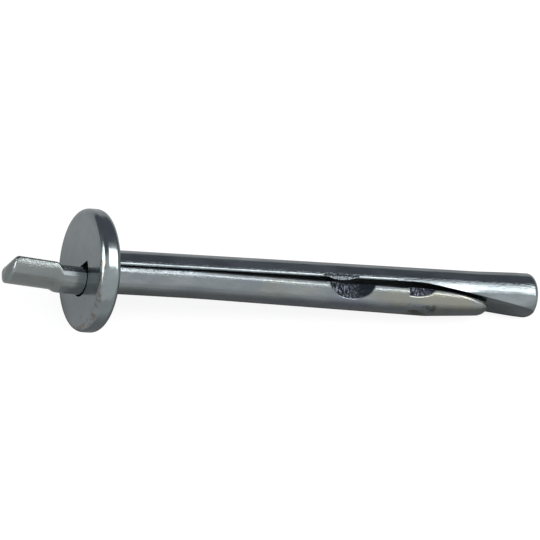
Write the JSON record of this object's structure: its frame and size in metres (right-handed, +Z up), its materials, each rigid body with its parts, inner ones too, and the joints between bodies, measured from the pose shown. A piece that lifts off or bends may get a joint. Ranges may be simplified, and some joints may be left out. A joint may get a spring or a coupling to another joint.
{
  "type": "wedge anchor",
  "caption": "Round-headed split steel anchor with a D-shaped drive pin that runs through the head and rides up a ramp at the tip when it is driven in.",
  "frame": {"origin": "under the middle of the anchor's length, on the surface it lies on", "axes": "+X from the struck end towards the tip, +Y towards the solid half of the shank with the pin on -Y, +Z up from the surface; the anchor lies on its head's rim and its tip, so its axis dips 4.65 degrees towards the tip, and it is rolled 15 degrees about its axis, pin side down"},
  "size_m": [0.079, 0.0168, 0.0169],
  "materials": {
    "body_zinc": "bright zinc plating with faint draw lines",
    "pin_zinc": "bright zinc plating with punched bites and tool marks"
  },
  "bodies": {
    "anchor": {"anchor_body": "body_zinc"},
    "pin": {"wedge_pin": "pin_zinc"}
  },
  "joints": [
    {"name": "drive", "type": "hinge", "parent": "anchor", "child": "pin", "pos_m": [-0.06716, -0.53705, -0.13266], "axis": [-0.0784, 0.2588, -0.9627], "range_deg": [0, 1.12]}
  ]
}
